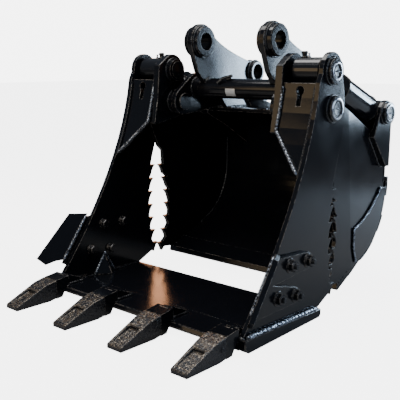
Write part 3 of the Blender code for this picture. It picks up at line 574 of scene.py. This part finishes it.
def weld_adapter(number):
    """Round the adapter's leg on the cutting edge, and at its shoulders where the side plates leave room."""
    x = middle(f"tooth_adapter_{number}").x
    z = EDGE_TOP + SEAT
    half = 0.0225
    front, rear = 0.278, 0.378
    around = [at(x - half, front, z), at(x - half, rear, z), at(x + half, rear, z), at(x + half, front, z)]
    bead(f"adapter_{number}_leg_weld", around, "jaw", 0.0060)
    for name, sign in (("left", -1), ("right", 1)):
        if abs(x + sign * 0.045) < JAW_IN:
            bead(f"adapter_{number}_{name}_weld", [at(x + sign * 0.043, 0.262, z - 0.001),
                                                   at(x + sign * 0.040, 0.277, z - 0.001),
                                                   at(x + sign * 0.026, 0.278, z - 0.001)], "jaw", 0.0055)


# ---------------------------------------------------------------- pins, bolts and fittings

def pin_end_cover(name, x, centre, radius, body, side):
    """The end of a pin: a bright machined ring, a grooved dark centre and a grease nipple."""
    out = (side, 0.0, 0.0)
    inner, outer = radius, radius + 0.010
    groove, crown = 0.0022, 0.0034
    ring = [(inner, 0.0), (outer, 0.0), (outer, groove), (outer - 0.002, crown), (outer - 0.006, crown),
            (outer - 0.0068, groove), (outer - 0.0080, groove), (outer - 0.0088, crown),
            (inner + 0.001, crown), (inner, groove), (inner, 0.0)]
    turned(f"{name}_ring", ring, at(x, *centre), out, body, BRIGHT_RING, 36)
    edge = inner - 0.0008
    dish = [(0.0, 0.0), (edge, 0.0), (edge, 0.0036), (edge - 0.002, 0.0046), (edge - 0.004, 0.0040),
            (edge - 0.005, 0.0026), (edge - 0.007, 0.0026), (edge - 0.008, 0.0042), (0.0075, 0.0030),
            (0.0, 0.0030)]
    turned(f"{name}_cap", dish, at(x - side * 0.004, *centre), out, body, LOOKS[STEEL], 36)
    grease_nipple(f"{name}_nipple", at(x - side * 0.0015, *centre), out, body, 0.6)


def grease_nipple(name, place, axis, body, scale=1.0):
    profile = [(0.0, 0.0), (0.0060, 0.0), (0.0060, 0.0050), (0.0034, 0.0060), (0.0030, 0.0090),
               (0.0042, 0.0110), (0.0040, 0.0135), (0.0022, 0.0155), (0.0, 0.0160)]
    profile = [(radius * scale, height * scale) for radius, height in profile]
    turned(name, profile, place, axis, body, BRIGHT_RING, 12)


def fit_pins(label, side):
    """The pins' outer ends, and the discs that keep the jaw's pins at their inner ends."""
    pin_end_cover(f"hinge_pin_{label}_end", side * BOSS_FACE, HINGE, HINGE_PIN_R, "jaw", side)
    pin_end_cover(f"rod_pin_{label}_end", side * BOSS_FACE, ROD_PIN, ROD_PIN_R, "jaw", side)
    pin_end_cover(f"cylinder_pin_{label}_end", side * CYLINDER_PIN_FACE, CYLINDER_PIN, CYLINDER_PIN_R,
                  "rear_shell", side)
    for kind, centre, x, thick in (("hinge", HINGE, 0.2615, 0.0060), ("rod", ROD_PIN, 0.2957, 0.0018)):
        disc = [(0.0, 0.0), (0.040, 0.0), (0.040, thick * 0.7), (0.038, thick), (0.0, thick)]
        turned(f"{kind}_pin_{label}_keeper", disc, at(side * x, *centre), (-side, 0.0, 0.0), "jaw",
               LOOKS[PAINT])


def fit_side_cutter_bolts(label, side):
    """Four bolts a side, each with its stud's end showing outside and a nut inside the jaw."""
    stud = [(0.0, 0.0), (0.0105, 0.0), (0.0105, 0.008), (0.0085, 0.0105), (0.0, 0.0105)]
    out, back = (side, 0.0, 0.0), (-side, 0.0, 0.0)
    for number, (y, z) in enumerate(CUTTER_BOLTS, 1):
        hex_bolt(f"side_cutter_{label}_bolt_{number}", at(side * FLANGE_OUT, y, z), out, "jaw", 0.040, 0.021)
        turned(f"side_cutter_{label}_stud_{number}", stud, at(side * (FLANGE_OUT + 0.0245), y, z), out,
               "jaw", LOOKS[STEEL], 16)
        hex_bolt(f"side_cutter_{label}_nut_{number}", at(side * (JAW_IN - 0.0002), y, z), back, "jaw",
                 0.034, 0.018)


def fit_oil_lines(label, side):
    """A hard line from base port to gland port, the gland's collar and the barrel's eye weld."""
    base = at(side * CYLINDER_X, *CYLINDER_PIN)
    run = at(side * CYLINDER_X, *ROD_PIN) - base
    run.normalize()
    up = Vector((side, 0.0, 0.0)).cross(run) * -side
    if up.z < 0:
        up.negate()
    lift = (up * 0.80 - Vector((side, 0.0, 0.0)) * 0.60).normalized()
    body = f"cylinder_barrel_{label}"

    def along(distance, height):
        return base + run * distance + lift * height

    base_port, gland_port = 0.085, 0.256
    path = [along(base_port, 0.058), along(base_port, 0.078), along(0.092, 0.084), along(0.250, 0.084),
            along(gland_port, 0.078), along(gland_port, 0.058)]
    line = line_curve(f"oil_line_{label}", path, 0.0058, resolution=3)
    add_piece(f"oil_line_{label}", line, body, WELD)
    port = [(0.0, 0.0), (0.013, 0.0), (0.013, 0.016), (0.010, 0.019), (0.0, 0.019)]
    for name, distance in (("base", base_port), ("gland", gland_port)):
        turned(f"oil_port_{name}_{label}", port, along(distance, 0.0595), lift, body, LOOKS[PAINT], 6)
    collar = [(0.0330, 0.0), (0.0660, 0.0), (0.0675, 0.002), (0.0675, 0.022), (0.0660, 0.024),
              (0.0400, 0.028), (0.0400, 0.034), (0.0330, 0.034), (0.0330, 0.0)]
    turned(f"gland_collar_{label}", collar, base + run * 0.3102, run, body, LOOKS[PAINT], 36)
    turns = [math.tau * i / 40 for i in range(41)]
    neck = [base + run * 0.052 + 0.062 * (math.cos(t) * Vector((1, 0, 0)) + math.sin(t) * up) for t in turns]
    bead(f"barrel_eye_weld_{label}", neck, body, 0.0045, True)


def fit_eye_fittings(label, side):
    """The plug and nipple on top of the rod's eye, and the nipple on the barrel's eye."""
    up = (0.0, 0.0, 1.0)
    top = ROD_PIN.y + 0.0540
    plug = [(0.0, 0.0), (0.0145, 0.0), (0.0145, 0.003), (0.0110, 0.005), (0.0110, 0.013), (0.0135, 0.016),
            (0.0135, 0.022), (0.0095, 0.026), (0.0, 0.026)]
    rod = f"cylinder_rod_{label}"
    turned(f"rod_eye_plug_{label}", plug, at(side * 0.400, ROD_PIN.x, top), up, rod, LOOKS[PAINT], 12)
    grease_nipple(f"rod_eye_nipple_{label}", at(side * 0.424, ROD_PIN.x - 0.004, top), up, rod, 1.2)
    barrel_top = at(side * CYLINDER_X, CYLINDER_PIN.x, CYLINDER_PIN.y + 0.0545)
    grease_nipple(f"barrel_eye_nipple_{label}", barrel_top, up, f"cylinder_barrel_{label}")


def fit_gusset(label, side):
    """A triangular plate across the corner between the side plate and the floor."""
    x = side * (JAW_IN - 0.0003)
    low = FLOOR_TOP + 0.0003
    corners = [(x, 0.485, low), (x, 0.610, low), (x, 0.552, 0.128), (side * (JAW_IN - 0.050), 0.555, low)]
    bm = bmesh.new()
    points = [bm.verts.new(at(*corner)) for corner in corners]
    bmesh.ops.convex_hull(bm, input=points)
    bmesh.ops.recalc_face_normals(bm, faces=bm.faces)
    bmesh.ops.bevel(bm, geom=bm.edges[:], offset=0.0025, segments=2, affect="EDGES")
    name = f"corner_gusset_{label}"
    add_piece(name, mesh_from(bm, name), "jaw", LOOKS[PAINT])
    seat = side * (JAW_IN - SEAT)
    edge = [at(seat, 0.487, low + 0.004), at(seat, 0.552, 0.130), at(seat, 0.608, low + 0.004)]
    # The gusset bead takes the lit weld copy, whose brightness is painted highlight.
    bead(f"gusset_weld_{label}", edge, "jaw", 0.0070, look=PAINTED_HIGHLIGHT_WELD)


def fit_blank_plate():
    """The tube's rating plate, left blank, bent to the tube's front."""
    bm = bmesh.new()
    radius = TUBE_R + 0.0012
    columns = []
    for x in (-0.060, -0.006):
        turns = [math.radians(222 - 44 * i / 8) for i in range(9)]
        columns.append([bm.verts.new(at(x, TUBE.x + radius * math.cos(t), TUBE.y + radius * math.sin(t)))
                        for t in turns])
    for i in range(8):
        bm.faces.new((columns[0][i], columns[1][i], columns[1][i + 1], columns[0][i + 1]))
    bmesh.ops.recalc_face_normals(bm, faces=bm.faces)
    piece = add_piece("rating_plate", mesh_from(bm, "rating_plate"), "rear_shell", BLANK)
    solid = piece.modifiers.new("thickness", "SOLIDIFY")
    solid.thickness = 0.001
    solid.offset = 0.0


def fit_tube_clip():
    """A short bar strapped across the torque tube, for a hose."""
    ends = [at(-0.104, 0.905, 0.934), at(-0.082, 0.918, 0.957), at(-0.040, 0.934, 0.968)]
    add_piece("tube_clip", line_curve("tube_clip", ends, 0.0065), "rear_shell", LOOKS[PAINT])
    hex_bolt("tube_clip_bolt", at(-0.062, 0.938, 0.9545), (0.0, -0.35, 0.94), "rear_shell", 0.016, 0.009)


def fit_tooth_pins(number):
    """The two ends of the pin that holds a tooth on its adapter."""
    x = middle(f"tooth_{number}").x
    end = [(0.0, 0.0), (0.0085, 0.0), (0.0085, 0.0022), (0.0070, 0.0036), (0.0, 0.0036)]
    for name, sign in (("left", -1), ("right", 1)):
        turned(f"tooth_{number}_pin_{name}", end, at(x + sign * 0.0438, 0.180, 0.046), (sign, 0.0, 0.0),
               "jaw", LOOKS[STEEL], 16)


for part_label, part_side in SIDES.items():
    weld_jaw(part_label, part_side)
    weld_shell(part_label, part_side)
    weld_hangers(part_label, part_side)
    fit_pins(part_label, part_side)
    fit_side_cutter_bolts(part_label, part_side)
    fit_oil_lines(part_label, part_side)
    fit_eye_fittings(part_label, part_side)
    fit_gusset(part_label, part_side)
weld_across()
fit_blank_plate()
fit_tube_clip()
for tooth_number in range(1, 5):
    weld_adapter(tooth_number)
    fit_tooth_pins(tooth_number)


# ---------------------------------------------------------------- camera and studio

def make_camera():
    data = bpy.data.cameras.new("camera")
    data.lens = 61.5
    data.sensor_width = 36.0
    camera = bpy.data.objects.new("camera", data)
    bpy.context.scene.collection.objects.link(camera)
    camera.location = at(1.921, -1.552, 1.025)
    camera.rotation_euler = (math.radians(90 - 11.34), 0.0, math.radians(40.92))
    bpy.context.scene.camera = camera


def softbox(name, place, target, width, height, watts, colour):
    data = bpy.data.lights.new(name, "AREA")
    data.shape = "RECTANGLE"
    data.size = width
    data.size_y = height
    data.energy = watts
    data.color = colour
    light = bpy.data.objects.new(name, data)
    light.visible_camera = False
    bpy.context.scene.collection.objects.link(light)
    light.location = place
    light.rotation_euler = (Vector(target) - Vector(place)).to_track_quat("-Z", "Y").to_euler()


def make_studio():
    """A pale floor and a white backdrop that only the camera sees as bright, and six soft lights."""
    bm = bmesh.new()
    bmesh.ops.create_grid(bm, x_segments=1, y_segments=1, size=30.0)
    mesh = mesh_from(bm, "floor")
    floor = bpy.data.objects.new("floor", mesh)
    bpy.context.scene.collection.objects.link(floor)
    floor.location.z = -0.0005
    n = Nodes("pale_floor")
    material = n.finish((0.38, 0.38, 0.38), 0.9, Specular_IOR_Level=0.0)
    glow = n.add("ShaderNodeEmission")
    to_camera = n.add("ShaderNodeLightPath").outputs["Is Camera Ray"]
    n.put(glow.inputs["Strength"], n.math("MULTIPLY", to_camera, 5.0))
    both = n.add("ShaderNodeAddShader")
    n.put(both.inputs[0], n.shader.outputs[0])
    n.put(both.inputs[1], glow.outputs[0])
    n.put(n.tree.nodes["Material Output"].inputs["Surface"], both.outputs[0])
    mesh.materials.append(material)

    world = bpy.data.worlds.new("studio")
    bpy.context.scene.world = world
    world.use_nodes = True
    tree = world.node_tree
    background = tree.nodes["Background"]
    background.inputs["Color"].default_value = (0.55, 0.66, 0.85, 1.0)
    background.inputs["Strength"].default_value = 0.22
    white = tree.nodes.new("ShaderNodeBackground")
    white.inputs["Color"].default_value = (1.0, 1.0, 1.0, 1.0)
    white.inputs["Strength"].default_value = 6.0
    path = tree.nodes.new("ShaderNodeLightPath")
    either = tree.nodes.new("ShaderNodeMixShader")
    tree.links.new(path.outputs["Is Camera Ray"], either.inputs["Fac"])
    tree.links.new(background.outputs["Background"], either.inputs[1])
    tree.links.new(white.outputs["Background"], either.inputs[2])
    tree.links.new(either.outputs["Shader"], tree.nodes["World Output"].inputs["Surface"])
    softbox("strip_back_right", at(1.45, 3.80, 1.12), at(0.0, 0.95, 1.0), 0.8, 1.0, 105, (0.62, 0.80, 1.0))
    softbox("side_right", at(4.2, 1.6, 1.6), at(0.5, 0.9, 0.6), 1.6, 1.6, 60, (0.60, 0.76, 1.0))
    softbox("top", at(-0.2, 0.8, 3.6), at(0.0, 0.7, 0.4), 2.4, 2.4, 170, (1.0, 0.98, 0.96))
    softbox("fill_front", at(0.2, -3.4, 2.2), at(0.0, 0.4, 0.4), 1.2, 0.9, 55, (1.0, 0.94, 0.84))
    softbox("warm_front_left", at(-1.68, -2.46, 1.48), at(0.44, 0.74, 0.80), 1.5, 1.5, 16, (1.0, 0.70, 0.36))
    softbox("warm_back_left", at(-2.20, 2.60, 0.98), at(-0.20, 0.57, 0.03), 0.9, 0.9, 13, (1.0, 0.44, 0.20))


make_camera()
make_studio()
